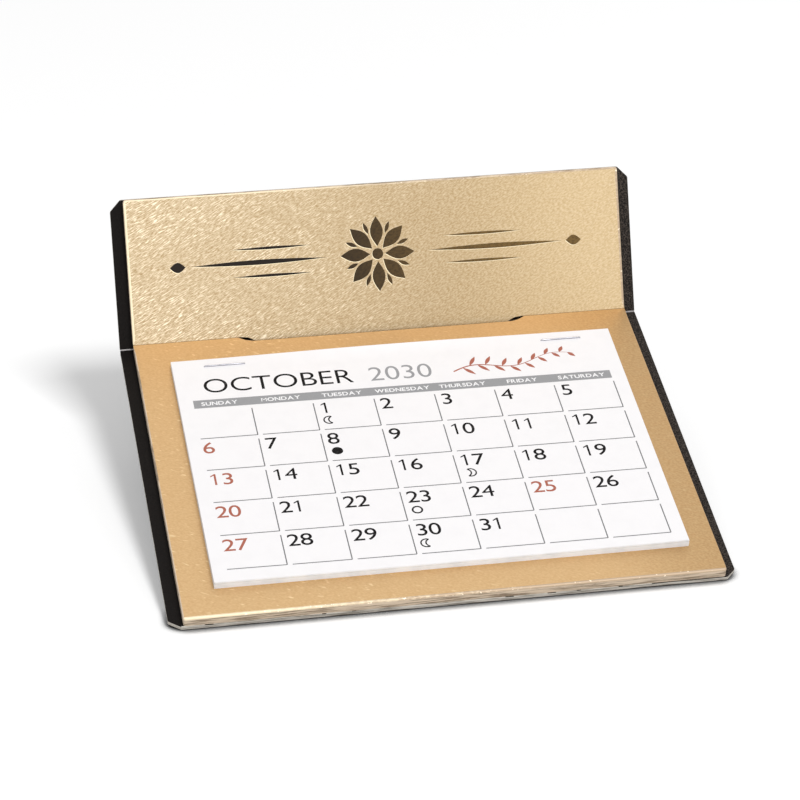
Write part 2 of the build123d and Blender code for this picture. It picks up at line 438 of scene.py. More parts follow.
# Painted glints on the pressed edge
PAINTED_GLINTS = Grain((1.1, 1.1, 1.1), detail=1, start=4.7, low=0.66, high=0.72)
CHIPBOARD_PLIES = Grain((9, 9, 0.4), detail=4, low=0.45, high=0.62, relief=-0.12, strength=0.7)
BLACK_BOARD_PLIES = CHIPBOARD_PLIES._replace(size=(9, 9, 0.3))
PLY_DARKNESS = 0.9
CUT_FIBRES = Grain((1.2, 1.2, 0.25), detail=3, start=3.1, low=0.5, high=0.75, most=0.5)
# The pebbles run between the black paper's least and most roughness
BLACK_PEBBLES = Grain((0.5, 0.5, 0.5), low=0.3, high=0.7, least=0.5, most=0.66, relief=0.08, strength=0.5)
BLACK_SPECKS = Grain((0.32, 0.32, 0.32), detail=1, start=5.9, low=0.4, high=0.72)
SCUFFED_FIBRES = Grain((1.6, 0.3, 0.3), detail=4, low=0.25, high=0.5, least=0.4, relief=0.08, strength=0.6)
PAPER_MOTTLE = Grain((5, 5, 5), detail=4, low=0.4, high=0.7)
PAPER_FIBRES = Grain((0.6, 0.25, 0.25), start=2.2, turn=0.6, relief=0.01, strength=0.4)
INK_GRAIN = Grain((0.7, 0.7, 0.7), detail=3, low=0.45, high=0.8, most=0.04)
FILM_FLECKS = Grain((0.8, 0.5, 0.8), detail=3, turn=0.4, low=0.35, high=0.6, least=0.6, relief=0.02,
                    strength=0.4)
DRAWN_MARKS = Grain((2.5, 0.12, 0.12), detail=3, low=0.45, high=0.7)
# Roughness of the foil and of the wire, plain and where it is marked
FOIL_ROUGHNESS = (0.5, 0.4)
STEEL_ROUGHNESS = (0.42, 0.55)
NOISE_ROUGHNESS = 0.55
# Places of the colour mixer's sockets, several of which share one name
MIX_AMOUNT, MIX_FIRST, MIX_SECOND, MIX_RESULT = 0, 6, 7, 2


def feed(tree, socket, value):
    """Links a socket to another one, or sets it to a plain value, colours with full cover."""
    if isinstance(value, bpy.types.NodeSocket):
        tree.links.new(value, socket)
    elif socket.type == "RGBA":
        socket.default_value = (*value, 1.0)
    else:
        socket.default_value = value


def node(tree, kind, inputs=None, **options):
    """A new node with its options set and its inputs filled or linked."""
    made = tree.nodes.new(kind)
    for option, value in options.items():
        setattr(made, option, value)
    for socket, value in (inputs or {}).items():
        feed(tree, made.inputs[socket], value)
    return made


def wire(tree, shader, **sockets):
    """Fills or links the shader's sockets, named with underscores for spaces."""
    for name, value in sockets.items():
        feed(tree, shader.inputs[name.replace("_", " ")], value)


def bare_tree(owner):
    """Emptied node tree of a material or a world."""
    owner.use_nodes = True
    owner.node_tree.nodes.clear()
    return owner.node_tree


def new_material(name):
    """Empty surface material, with its node tree and shader."""
    material = bpy.data.materials.new(name)
    tree = bare_tree(material)
    shader = node(tree, "ShaderNodeBsdfPrincipled")
    node(tree, "ShaderNodeOutputMaterial", {"Surface": shader.outputs["BSDF"]})
    return material, tree, shader


def ramp(tree, value, low, high, to_low=0.0, to_high=1.0):
    """A value stretched between two limits, smoothly."""
    made = node(tree, "ShaderNodeMapRange", {
        "Value": value, "From Min": low, "From Max": high, "To Min": to_low, "To Max": to_high},
        interpolation_type="SMOOTHSTEP")
    return made.outputs["Result"]


def product(tree, first, second):
    """Two values multiplied."""
    return node(tree, "ShaderNodeMath", {0: first, 1: second}, operation="MULTIPLY").outputs["Value"]


def mix_colours(tree, amount, first, second):
    """Two colours mixed by an amount."""
    made = node(tree, "ShaderNodeMix", {MIX_AMOUNT: amount, MIX_FIRST: first, MIX_SECOND: second},
                data_type="RGBA")
    return made.outputs[MIX_RESULT]


def across(tree, left, right, start, end):
    """A value that changes smoothly between two places along the boards' width."""
    place = node(tree, "ShaderNodeTexCoord").outputs["Object"]
    along = node(tree, "ShaderNodeSeparateXYZ", {"Vector": place}).outputs["X"]
    return ramp(tree, along, left, right, start, end)


def unevenness(tree, grain, tilt=0.0):
    """Noise of a grain, on a board that is tilted about X."""
    place = node(tree, "ShaderNodeTexCoord").outputs["Object"]
    turned = node(tree, "ShaderNodeMapping", {"Vector": place, "Rotation": (-tilt, 0, -grain.turn)})
    sized = node(tree, "ShaderNodeMapping", {
        "Vector": turned.outputs["Vector"],
        "Location": (grain.start, grain.start, grain.start),
        "Scale": tuple(1 / (side * MM) for side in grain.size),
    })
    made = node(tree, "ShaderNodeTexNoise", {
        "Vector": sized.outputs["Vector"],
        "Scale": 1.0,
        "Detail": grain.detail,
        "Roughness": NOISE_ROUGHNESS,
    })
    return made.outputs["Fac"]


def stretched(tree, uneven, grain):
    """A grain's noise, stretched from its least to its most."""
    return ramp(tree, uneven, grain.low, grain.high, grain.least, grain.most)


def pattern(tree, grain, tilt=0.0):
    """New noise of a grain, stretched."""
    return stretched(tree, unevenness(tree, grain, tilt), grain)


def bump(tree, height, grain):
    """Surface relief of a grain, from its noise as a height."""
    made = node(tree, "ShaderNodeBump", {
        "Height": height, "Distance": grain.relief * MM, "Strength": grain.strength})
    return made.outputs["Normal"]


def foil_grain(look, scale=1.0, **values):
    """Grain along the fibres of a foil."""
    size = (look.stroke_length * scale, look.stroke_width * scale, look.stroke_length)
    return Grain(size, turn=math.radians(look.slant), **values)


def foil_material(board, reach):
    """Brushed metal paper: short slanted fibres, bright and dark, whose fading from left to right paints a
    sheen.
    """
    colours, look = settings("colours"), FOILS[board]
    tones = ("gold", "far", "light", "dark")
    gold, far, light, dark = [getattr(colours, f"{board}_{tone}") for tone in tones]
    material, tree, shader = new_material(board + " foil")
    bare = 1 - look.fibre_share
    fibres = foil_grain(look, detail=1, low=bare, high=bare + FIBRE_SOFTNESS, relief=0.02, strength=0.4)
    shades = foil_grain(look, start=31.7, low=0.45, high=0.7, most=0.22)
    hairs = foil_grain(look, HAIR_SCALE, detail=1, start=13.1, low=0.4, high=0.65, most=look.hair_share)
    sand = FOIL_SAND._replace(turn=math.radians(look.slant), most=look.sand_share)
    # The bright fibres thin out towards the right: a painted sheen, brighter at the left
    left = across(tree, -reach, look.calm_place * reach, 1.0, look.calm_share)
    bright = product(tree, product(tree, pattern(tree, fibres), left), pattern(tree, FOIL_CLOUDS))
    # Painted reflection: from the reflection place on, the colour turns to the far one
    tinted = mix_colours(tree, across(tree, look.far_place * reach, reach, 0.0, 1.0), gold, far)
    tinted = mix_colours(tree, pattern(tree, shades), tinted, dark)
    tinted = mix_colours(tree, pattern(tree, sand), tinted, light)
    tinted = mix_colours(tree, product(tree, pattern(tree, hairs), left), tinted, light)
    tinted = mix_colours(tree, product(tree, bright, look.fibre_gain), tinted, light)
    wire(tree, shader, Base_Color=tinted, Metallic=0.85,
         Roughness=ramp(tree, bright, 0.0, 1.0, *FOIL_ROUGHNESS), Normal=bump(tree, bright, fibres))
    return material


def worn_gold_material(board, reach):
    """Painted highlight on foil pressed over a board's edge: cream at the left, dull and flecked to the
    right.
    """
    colours, look = settings("colours"), FOILS[board]
    material, tree, shader = new_material(board + " worn gold")
    flecks = unevenness(tree, HIGHLIGHT_FLECKS)
    # Painted edge highlight, dimmed by flecks towards the right
    dulled = product(tree, across(tree, -reach, reach, look.dull_left, look.dull_right),
                     stretched(tree, flecks, HIGHLIGHT_FLECKS))
    lightened = mix_colours(tree, dulled, colours.worn_gold, colours.worn_dull)
    # Painted glints in the bright fibres' colour
    sparkling = mix_colours(tree, pattern(tree, PAINTED_GLINTS), lightened, colours.header_light)
    wire(tree, shader, Base_Color=sparkling, Metallic=0.2, Roughness=0.5,
         Normal=bump(tree, flecks, HIGHLIGHT_FLECKS))
    return material


def cut_edge_material(name, plies, pale, dark, tilt=0.0):
    """Cut edge of a board: pale plies with dark ragged lines between them."""
    material, tree, shader = new_material(name)
    lines = pattern(tree, plies, tilt)
    tinted = mix_colours(tree, product(tree, lines, PLY_DARKNESS), pale, dark)
    wire(tree, shader, Base_Color=mix_colours(tree, pattern(tree, CUT_FIBRES, tilt), tinted, pale),
         Roughness=0.85, Normal=bump(tree, lines, plies))
    return material


def black_paper_material():
    """Black grained paper with a dull shine and lighter specks, more of them towards the right."""
    sizes, colours = settings("boards"), settings("colours")
    reach = span_of("header_backing", HEADER)[1].x
    material, tree, shader = new_material("black grained paper")
    pebbles = unevenness(tree, BLACK_PEBBLES)
    lightened = product(tree, pattern(tree, BLACK_SPECKS),
                     across(tree, -reach, reach, sizes.rub_left, sizes.rub_right))
    wire(tree, shader, Base_Color=mix_colours(tree, lightened, colours.black, colours.black_worn),
         Roughness=stretched(tree, pebbles, BLACK_PEBBLES), Specular_IOR_Level=0.08,
         Normal=bump(tree, pebbles, BLACK_PEBBLES))
    return material


def scuffed_material():
    """Broken fibres where the black paper is creased."""
    colours = settings("colours")
    material, tree, shader = new_material("scuffed crease")
    fibres = pattern(tree, SCUFFED_FIBRES)
    wire(tree, shader, Base_Color=mix_colours(tree, fibres, colours.black, colours.scuff), Roughness=0.8,
         Normal=bump(tree, fibres, SCUFFED_FIBRES))
    return material


def paper_material(name, tone, shade):
    """Smooth paper with a faint mottle."""
    material, tree, shader = new_material(name)
    wire(tree, shader, Base_Color=mix_colours(tree, pattern(tree, PAPER_MOTTLE), tone, shade),
         Roughness=0.62, Normal=bump(tree, unevenness(tree, PAPER_FIBRES), PAPER_FIBRES))
    return material


def ink_material(name, tone):
    """Printed ink with a slight unevenness."""
    material, tree, shader = new_material(name)
    paper = settings("colours").paper
    wire(tree, shader, Base_Color=mix_colours(tree, pattern(tree, INK_GRAIN), tone, paper), Roughness=0.6,
         Specular_IOR_Level=0.1)
    return material


def stamp_material(name, left, right):
    """Stamped metal film whose colour turns from left to right, on the film a painted reflection from dark
    to gold.
    """
    sizes = settings("stamp")
    material, tree, shader = new_material(name)
    flecks = unevenness(tree, FILM_FLECKS)
    turned = product(tree, across(tree, -sizes.rule_end, sizes.rule_end, sizes.gold_left, sizes.gold_right),
                     stretched(tree, flecks, FILM_FLECKS))
    wire(tree, shader, Base_Color=mix_colours(tree, turned, left, right), Metallic=0.7, Roughness=0.35,
         Normal=bump(tree, flecks, FILM_FLECKS))
    return material


def steel_material():
    """Drawn steel wire."""
    colours = settings("colours")
    material, tree, shader = new_material("staple steel")
    drawn = pattern(tree, DRAWN_MARKS)
    wire(tree, shader, Base_Color=mix_colours(tree, drawn, colours.steel, colours.steel_dark), Metallic=1.0,
         Roughness=ramp(tree, drawn, 0.0, 1.0, *STEEL_ROUGHNESS))
    return material


# Shapes

# Finishes of a gold board, of a black board and of a sheet, in the order of their materials; a gold board's
# second finish is a painted highlight on its pressed edge
FOIL, PAINTED_HIGHLIGHT, CUT = range(3)
SKIN, CORE = range(2)
PAPER, PAPER_CUT = range(2)
# Points round a bend, and the angle from which an edge stays crisp
BEND_POINTS = 6
CRISP_ANGLE = math.radians(40)
# Shift of the raggedness from one ring of a board to the next, in grains
RING_SHIFT = 0.7
# Over the spacing of a face's inner points: the room they leave to its rim, and what counts as one point
RIM_ROOM = 0.5
WELD_SHARE = 1e-6


def add_piece(name, vertices, faces, axes, materials, finishes=None):
    """New mesh piece in a board's axes, with one finish per face."""
    mesh = bpy.data.meshes.new(name)
    mesh.from_pydata([tuple(map(float, vertex)) for vertex in vertices], [], [list(face) for face in faces])
    for material in materials:
        mesh.materials.append(material)
    if finishes is not None:
        mesh.polygons.foreach_set("material_index", finishes)
    if mesh.validate():
        raise RuntimeError(f"{name} has broken faces")
    piece = bpy.data.objects.new(name, mesh)
    bpy.context.scene.collection.objects.link(piece)
    piece.matrix_world = axes
    return piece


def rounded_loop(right_side, radii, step):
    """Closed loop from the corners of its right half, each rounded, with a point about every step."""
    corners = [Vector(corner) for corner in right_side] + [Vector((-x, y)) for x, y in reversed(right_side)]
    before, after = corners[-1:] + corners[:-1], corners[1:] + corners[:1]
    bends = []
    for last, corner, following, radius in zip(before, corners, after, (*radii, *reversed(radii))):
        start = corner + (last - corner).normalized() * radius
        end = corner + (following - corner).normalized() * radius
        for part in np.linspace(0, 1, BEND_POINTS):
            bends.append(start.lerp(corner, part).lerp(corner.lerp(end, part), part))
    loop = []
    for here, there in zip(bends, bends[1:] + bends[:1]):
        count = max(1, round((there - here).length / step))
        loop += [here.lerp(there, part / count) for part in range(count)]
    return np.array(loop)


def inset(loop, distance):
    """A counterclockwise loop moved inwards, by one distance or by a row of them for each point."""
    ahead = np.roll(loop, -1, axis=0) - loop
    ahead /= np.linalg.norm(ahead, axis=1)[:, None]
    inward = np.column_stack([-ahead[:, 1], ahead[:, 0]])
    both = inward + np.roll(inward, 1, axis=0)
    return loop + distance * both / (both ** 2).sum(axis=1)[:, None] * 2


def roughness_along(loop, ring, grain_size):
    """Smooth uneven values along one ring of a loop, from 0 to 1."""
    places = [Vector((x / grain_size, y / grain_size, ring * RING_SHIFT)) for x, y in loop]
    return np.array([(1 + noise.noise(place)) / 2 for place in places])


def filled(loop, spacing):
    """Grid points inside a closed loop, and triangles over the loop's points followed by those points."""
    low, high = loop.min(axis=0), loop.max(axis=0)
    grid = np.array([(x, y) for x in np.arange(low[0] + spacing, high[0], spacing)
                     for y in np.arange(low[1] + spacing, high[1], spacing)])
    clear = np.linalg.norm(grid[:, None] - loop[None], axis=2).min(axis=1) > spacing * RIM_ROOM
    grid = grid[clear]
    count = len(loop)
    rim = [(here, (here + 1) % count) for here in range(count)]
    made = delaunay_2d_cdt([Vector(point) for point in (*loop, *grid)], rim, [], 1, spacing * WELD_SHARE)
    triangles, sources = made[2], made[3]
    return grid, [tuple(sources[corner][0] for corner in triangle) for triangle in triangles]


def ringed_board(name, loop, rings, axes, materials, caps):
    """Closed board from rings of (inset, level, wear, finish), lowest first, each finish for the band above.

    All but the wear may be one value or one for each point.
    """
    sizes = settings("boards")
    count = len(loop)
    vertices, faces, finishes = [], [], []
    for ring, (distance, level, wear, _) in enumerate(rings):
        uneven = wear * roughness_along(loop, ring, sizes.wear_grain)[:, None]
        vertices += list(np.column_stack([inset(loop, distance + uneven), np.broadcast_to(level, count)]))
    for ring, (_, _, _, finish) in enumerate(rings[:-1]):
        low = ring * count
        for here in range(count):
            there = (here + 1) % count
            faces.append((low + here, low + there, low + count + there, low + count + here))
        finishes += np.broadcast_to(finish, count).tolist()
    bands = len(faces)
    for ring, cap in ((0, caps[0]), (len(rings) - 1, caps[1])):
        first, rest, level = ring * count, len(vertices), vertices[ring * count][2]
        grid, triangles = filled(np.array(vertices[first:first + count])[:, :2], sizes.fill_spacing)
        vertices += [(x, y, level) for x, y in grid]
        for triangle in triangles:
            face = [first + corner if corner < count else rest + corner - count for corner in triangle]
            faces.append(face if ring else face[::-1])
            finishes.append(cap)
    piece = add_piece(name, vertices, faces, axes, materials, finishes)
    for polygon in piece.data.polygons:
        polygon.use_smooth = polygon.index < bands
    return piece


def soften(piece):
    """Smooth shading with crisp cut edges."""
    piece.data.shade_smooth()
    piece.data.set_sharp_from_angle(angle=CRISP_ANGLE)


def stand_on_desk(piece, along):
    """Trims a board flat where it would reach below the desk, moving its points along one of its axes."""
    direction = Vector(along)
    rise = (piece.matrix_world.to_3x3() @ direction).z
    for vertex in piece.data.vertices:
        depth = (piece.matrix_world @ vertex.co).z
        if depth < 0:
            vertex.co -= direction * (depth / rise)


def hollow_point(here, there, depth):
    """Middle of a slanted edge, worn in along the board."""
    return (here[0] + there[0]) / 2, (here[1] + there[1]) / 2 + depth


def edge_roll(loop, fold_edge, outer_roll):
    """Width of the pressed edge at each point, across the board and along it: least by the fold."""
    sizes = settings("boards")
    away = np.abs(loop[:, 1] - fold_edge)
    reach = away.max()
    places = (sizes.fold_zone, sizes.fold_zone + sizes.front_radius, reach - 2 * sizes.front_radius, reach)
    along = np.interp(away, places, (sizes.fold_roll, sizes.side_roll, sizes.side_roll, outer_roll))
    return np.column_stack([np.minimum(along, sizes.side_roll), along])


def edge_finish(loop, fold_edge, outside, left, right):
    """Finish of the pressed edge at each point: outer edge, left side, right side, or foil by the fold."""
    away, side = np.abs(loop[:, 1] - fold_edge), loop[:, 0].max() - NEAR
    outer = away > away.max() - settings("boards").front_radius
    return np.select([outer, loop[:, 0] < -side, loop[:, 0] > side], [outside, left, right], FOIL)


def gold_rings(thickness, roll, finish, rub):
    """Rings of a gold board: glue joint, ragged chipboard, pressed upper edge and a line inside it, which on
    the header is painted highlight.
    """
    sizes = settings("boards")
    drop = roll[:, 1] * sizes.roll_steepness
    rings = [
        (sizes.glue_gap, 0.0, 0.0, CUT),
        (0.0, sizes.glue_gap, sizes.edge_wear * sizes.low_wear, CUT),
        (sizes.edge_hollow, thickness / 2, sizes.edge_wear * sizes.middle_wear, CUT),
        (0.0, thickness - drop, 0.0, finish),
    ]
    for turn in np.linspace(0, math.pi / 2, BEND_POINTS)[1:]:
        rings.append((roll * (1 - math.cos(turn)), thickness - drop * (1 - math.sin(turn)), 0.0, finish))
    # The last ring of the pressed edge and the line inside it take the inner line's finish, painted
    # highlight on the header
    rings[-1] = (*rings[-1][:3], np.where(finish == FOIL, FOIL, rub))
    rings.append((roll + sizes.edge_rub * (roll > sizes.fold_roll), thickness, 0.0, FOIL))
    return rings


def black_rings(thickness, upper_skin):
    """Rings of a black board: paper, grey core and paper again, where it isn't worn off."""
    sizes = settings("boards")
    low = -thickness
    bend = low + sizes.foot_height * sizes.foot_bend_rise
    return [
        # Black paper at the foot, taller than the skin: partly the real paper, partly a painted dark line of
        # shade along the desk
        (sizes.foot_inset, low, 0.0, SKIN),
        (sizes.foot_inset * sizes.foot_bend_inset, bend, 0.0, SKIN),
        (0.0, low + sizes.foot_height, 0.0, CORE),
        (sizes.edge_hollow, low / 2, sizes.edge_wear * sizes.black_wear, CORE),
        (0.0, -sizes.skin_thickness, 0.0, upper_skin),
        (0.0, -sizes.skin_radius, 0.0, upper_skin),
        (sizes.skin_radius, 0.0, 0.0, SKIN),
    ]


# Flat shapes for print and stamping: points in a plane, and faces

# Width of a pointed shape's ends over its middle
POINT_WIDTH = 0.02


def stroke(points, widths):
    """Line of varying width through points, as a strip of faces."""
    points = np.array(points, float)
    ahead = np.gradient(points, axis=0)
    ahead /= np.linalg.norm(ahead, axis=1)[:, None]
    beside = np.column_stack([-ahead[:, 1], ahead[:, 0]]) * np.reshape(widths, (-1, 1)) / 2
    count = len(points)
    faces = [(i + count, i + 1 + count, i + 1, i) for i in range(count - 1)]
    return np.vstack([points + beside, points - beside]), faces


def straight(start, end, width, step):
    """Line of one width between two points, in steps short enough to follow a curled sheet."""
    start, end = np.array(start), np.array(end)
    count = max(2, int(np.linalg.norm(end - start) / step) + 1)
    return stroke([start + (end - start) * part for part in np.linspace(0, 1, count)], width)


def arc(middle, radius, start, end, width, count=20):
    """Line of one width along an arc."""
    turns = np.linspace(start, end, count)
    points = [(middle[0] + radius * math.cos(turn), middle[1] + radius * math.sin(turn)) for turn in turns]
    return stroke(points, width)


def disc(middle, radius, count=28):
    """Filled circle."""
    turns = np.linspace(0, 2 * math.pi, count, endpoint=False)
    points = np.column_stack([middle[0] + radius * np.cos(turns), middle[1] + radius * np.sin(turns)])
    return points, [tuple(range(count))]


def spindle(start, end, width, count=13):
    """Pointed shape, widest in its middle, between two points."""
    parts = np.linspace(0, 1, count)
    start, end = np.array(start), np.array(end)
    widths = width * np.maximum(np.sin(math.pi * parts), POINT_WIDTH)
    return stroke([start + (end - start) * part for part in parts], widths)


def spoke(middle, turn, start, end, width):
    """Pointed shape that runs out from a middle, from one distance to another."""
    direction = np.array((math.cos(turn), math.sin(turn)))
    return spindle(middle + direction * start, middle + direction * end, width)


# Measures of the built-in face in shares of its type size, and the outline of a flagged one to go with it
FONT_CAP = 0.682
FIGURE_BEARING = 0.034
FIGURE_ADVANCE = 0.473
FIGURE_ONE_SHARES = ((0.088, 0.57), (0.24, 0.682), (0.292, 0.682), (0.292, 0.0), (0.215, 0.0),
                     (0.215, 0.585), (0.088, 0.505))
FIGURE_ONE_FACES = ((0, 6, 5, 1), (1, 5, 4, 3, 2))
# Letters whose notches fill up when they are made bolder, and the space between bold letters
NOTCHED_LETTERS = ("M", "4")
BOLD_GAP = 0.075
# Points on each curve of a letter's outline
LETTER_POINTS = 7


def plain_letters(text, weight):
    """Letters of the built-in face as flat points and faces, in shares of the type size."""
    line = bpy.data.curves.new("letters", "FONT")
    line.body = text
    line.offset = min(weight, 0.0) if text in NOTCHED_LETTERS else weight
    line.resolution_u = LETTER_POINTS
    line.fill_mode = "FRONT"
    carrier = bpy.data.objects.new("letters", line)
    mesh = bpy.data.meshes.new_from_object(carrier)
    points = np.array([vertex.co[:2] for vertex in mesh.vertices])
    faces = [tuple(polygon.vertices) for polygon in mesh.polygons]
    bpy.data.objects.remove(carrier)
    bpy.data.curves.remove(line)
    bpy.data.meshes.remove(mesh)
    return points, faces


def bold_word(word, weight):
    """A word of bold capitals, set letter by letter."""
    flats, pen = [], 0.0
    for letter in word:
        points, faces = plain_letters(letter, weight)
        left, right = points[:, 0].min(), points[:, 0].max()
        flats.append((points + (pen - left, 0), faces))
        pen += right - left + BOLD_GAP
    return joined(flats)


def figures(number, weight):
    """A number, with a flagged one in place of the face's bare stem."""
    flats = []
    for place, digit in enumerate(str(number)):
        if digit == "1":
            flat = np.array(FIGURE_ONE_SHARES), list(FIGURE_ONE_FACES)
        else:
            flat = plain_letters(digit, weight)
        flats.append((flat[0] + (place * FIGURE_ADVANCE - FIGURE_BEARING, 0), flat[1]))
    return joined(flats)


def joined(flats):
    """Several flat shapes as one."""
    points, faces, base = [], [], 0
    for some_points, some_faces in flats:
        points.append(some_points)
        faces += [tuple(corner + base for corner in face) for face in some_faces]
        base += len(some_points)
    return np.vstack(points), faces


def set_type(flat, cap_height, place, base, stretch=1.0, anchor=0.0):
    """A flat word at a cap height, with a share of its width, or else its origin, set at a place."""
    size = cap_height / FONT_CAP
    points = flat[0] * (size * stretch, size)
    low, high = points[:, 0].min(), points[:, 0].max()
    start = 0.0 if anchor is None else low + anchor * (high - low)
    return points + (place - start, base), flat[1]


def thickened(flat, level, thickness):
    """Closed thin solid on a surface, whose level at each point is given by a function."""
    points, faces = flat
    count = len(points)
    heights = level(points[:, 0], points[:, 1])
    upper = np.column_stack([points, heights + thickness])
    lower = np.column_stack([points, heights])
    solid = []
    edges = {}
    for face in faces:
        corners = [points[corner] for corner in face]
        area = sum(a[0] * b[1] - b[0] * a[1] for a, b in zip(corners, corners[1:] + corners[:1]))
        face = tuple(face) if area > 0 else tuple(reversed(face))
        solid.append(face)
        solid.append(tuple(corner + count for corner in reversed(face)))
        for here, there in zip(face, face[1:] + face[:1]):
            edges[here, there] = (there, here) not in edges
            if (there, here) in edges:
                edges[there, here] = False
    for (here, there), outer in edges.items():
        if outer:
            solid.append((here, here + count, there + count, there))
    return np.vstack([upper, lower]), solid


# Month sheets

PAD_LOW, PAD_HIGH = span_of("pad_bound_edge", PLATFORM)
LEAF_LOW, LEAF_HIGH = span_of(SHEETS[1], PLATFORM)
SHEET_THICKNESS = LEAF_HIGH.z - LEAF_LOW.z


def crease_of(number):
    """Place of a sheet's crease along the platform: the front sheet bends on the second one's."""
    return span_of(SHEETS[max(number, 2) - 1], PLATFORM)[1].y


def top_of(number):
    """Level of a sheet's upper face over the crease plane."""
    return span_of(SHEETS[number - 1], PLATFORM)[1].z


def curl(number, x, y):
    """How far a sheet stands off its flat place, more for the upper sheets."""
    sizes = settings("pad")
    rank = (len(SHEETS) - number) / (len(SHEETS) - 1)
    forward = np.clip((LEAF_HIGH.y - y) / (LEAF_HIGH.y - LEAF_LOW.y), 0, 1) ** 3
    side = (x - (PAD_LOW.x + PAD_HIGH.x) / 2) / ((PAD_HIGH.x - PAD_LOW.x) / 2)
    corners = (sizes.front_right_lift * np.clip(side, 0, 1) ** 2
               + sizes.front_left_lift * np.clip(-side, 0, 1) ** 2)
    rearward = np.clip((y - LEAF_HIGH.y) / (PAD_HIGH.y - LEAF_HIGH.y), 0, 1) ** 2
    bulge = sizes.rear_lift * np.cos(np.clip(side, -1, 1) * math.pi / 2) ** 2
    return rank * (forward * corners + rearward * bulge)


def sheet_solid(number, places):
    """Closed thin sheet through the given places along the platform, following its curl."""
    sizes = settings("pad")
    scatter = np.random.default_rng(sizes.seed + number).uniform(-1, 1, 2) * sizes.trim_scatter
    across, along = np.meshgrid(np.linspace(PAD_LOW.x, PAD_HIGH.x, sizes.columns + 1), places)
    rows, columns = across.shape
    height = top_of(number) + curl(number, across, along)
    trim = np.where(along < LEAF_HIGH.y, scatter[1], 0.0)
    upper = np.column_stack([(across + scatter[0]).ravel(), (along + trim).ravel(), height.ravel()])
    lower = upper - (0, 0, SHEET_THICKNESS)
    count = len(upper)
    faces = []
    for row in range(rows - 1):
        for column in range(columns - 1):
            a = row * columns + column
            face = (a, a + 1, a + columns + 1, a + columns)
            faces += [face, tuple(corner + count for corner in reversed(face))]
    rim = ([column for column in range(columns)]
           + [row * columns + columns - 1 for row in range(1, rows)]
           + [(rows - 1) * columns + column for column in range(columns - 2, -1, -1)]
           + [row * columns for row in range(rows - 2, 0, -1)])
    finishes = [PAPER] * len(faces) + [PAPER_CUT] * len(rim)
    for here, there in zip(rim, rim[1:] + rim[:1]):
        faces.append((here + count, there + count, there, here))
    return np.vstack([upper, lower]), faces, finishes


def sheet_places(crease, rear):
    """Places of a sheet's mesh rows from front to rear, close together where it bends."""
    sizes = settings("pad")
    leaf = np.linspace(LEAF_LOW.y, crease - sizes.bend_length, sizes.rows)
    bend = np.linspace(crease - sizes.bend_length, crease, sizes.bend_rows)[1:]
    strip = np.linspace(crease, rear, sizes.strip_rows)[1:] if rear > crease else []
    return np.concatenate([leaf, bend, strip])


def on_platform(y, level):
    """A point over the platform's middle line, in the shared frame."""
    return PLATFORM @ Vector((0, y, level))


# Print

WEEK = calendar.Calendar(calendar.SUNDAY)
WEEKDAYS = [calendar.day_name[day].upper() for day in WEEK.iterweekdays()]
FRONT_MOONS = {1: "waning", 8: "new", 17: "waxing", 23: "full", 30: "waning"}
INKS = ("black", "red", "grey", "rule", "white")
# Points along the sprig's stem, and which of them carry a leaf
STEM_POINTS = 49
LEAF_PLACES = range(4, 47, 3)


def month_of(number):
    """Year and month printed on a sheet."""
    sizes = settings("print")
    years, month = divmod(sizes.first_month - 1 + number - 1, 12)
    return sizes.first_year + years, month + 1


def moon_sign(kind, middle):
    """Plain sign of a moon phase."""
    sizes = settings("print")
    radius, line, tip = sizes.moon_radius, sizes.moon_line, sizes.crescent_tip
    if kind == "new":
        return disc(middle, radius)
    if kind == "full":
        return arc(middle, radius - line / 2, 0, 2 * math.pi, line, count=36)
    facing = 0 if kind == "waning" else math.pi
    line *= sizes.crescent_line
    inner_radius = radius * sizes.crescent_inner
    shift = radius * math.cos(tip) + math.sqrt(inner_radius ** 2 - (radius * math.sin(tip)) ** 2)
    turn = math.atan2(radius * math.sin(tip), radius * math.cos(tip) - shift)
    inner = (middle[0] + shift * math.cos(facing), middle[1])
    return joined([
        arc(middle, radius, facing + tip, facing + 2 * math.pi - tip, line),
        arc(inner, inner_radius, facing + turn, facing + 2 * math.pi - turn, line),
    ])


def sprig():
    """Plain printed sprig: a wavy stem with leaves on either side."""
    sizes = settings("print")
    start = np.array((sizes.sprig_left, -sizes.sprig_foot))
    end = np.array((sizes.sprig_right, -sizes.sprig_head))
    along = (end - start) / np.linalg.norm(end - start)
    beside = np.array((-along[1], along[0]))
    parts = np.linspace(0, 1, STEM_POINTS)
    sway = sizes.sprig_wave * np.sin(sizes.sprig_half_waves * math.pi * parts)
    stem = start + np.outer(parts, end - start) + np.outer(sway, beside)
    flats = [stroke(stem, sizes.sprig_line * (sizes.stem_foot - parts))]
    for leaf, place in enumerate(LEAF_PLACES):
        side = 1 if leaf % 2 else -1
        reach = sizes.sprig_leaf * (sizes.leaf_first - sizes.leaf_fade * parts[place])
        tip = stem[place] + (along * sizes.leaf_lean + beside * side) * reach
        flats.append(spindle(stem[place], tip, sizes.sprig_leaf * sizes.leaf_width, count=9))
    return flats


def title_word(text, left):
    """A word of a page's title, from its left end."""
    sizes = settings("print")
    letters = plain_letters(text, sizes.title_weight)
    return set_type(letters, sizes.title_height, left, -sizes.title_base, sizes.title_stretch)


def page_title(inks, year, month):
    """Month and year of a page."""
    sizes = settings("print")
    title = title_word(calendar.month_name[month].upper(), sizes.title_left)
    inks["black"].append(title)
    year_left = max(sizes.year_left, title[0][:, 0].max() + sizes.title_gap)
    inks["grey"].append(title_word(str(year), year_left))


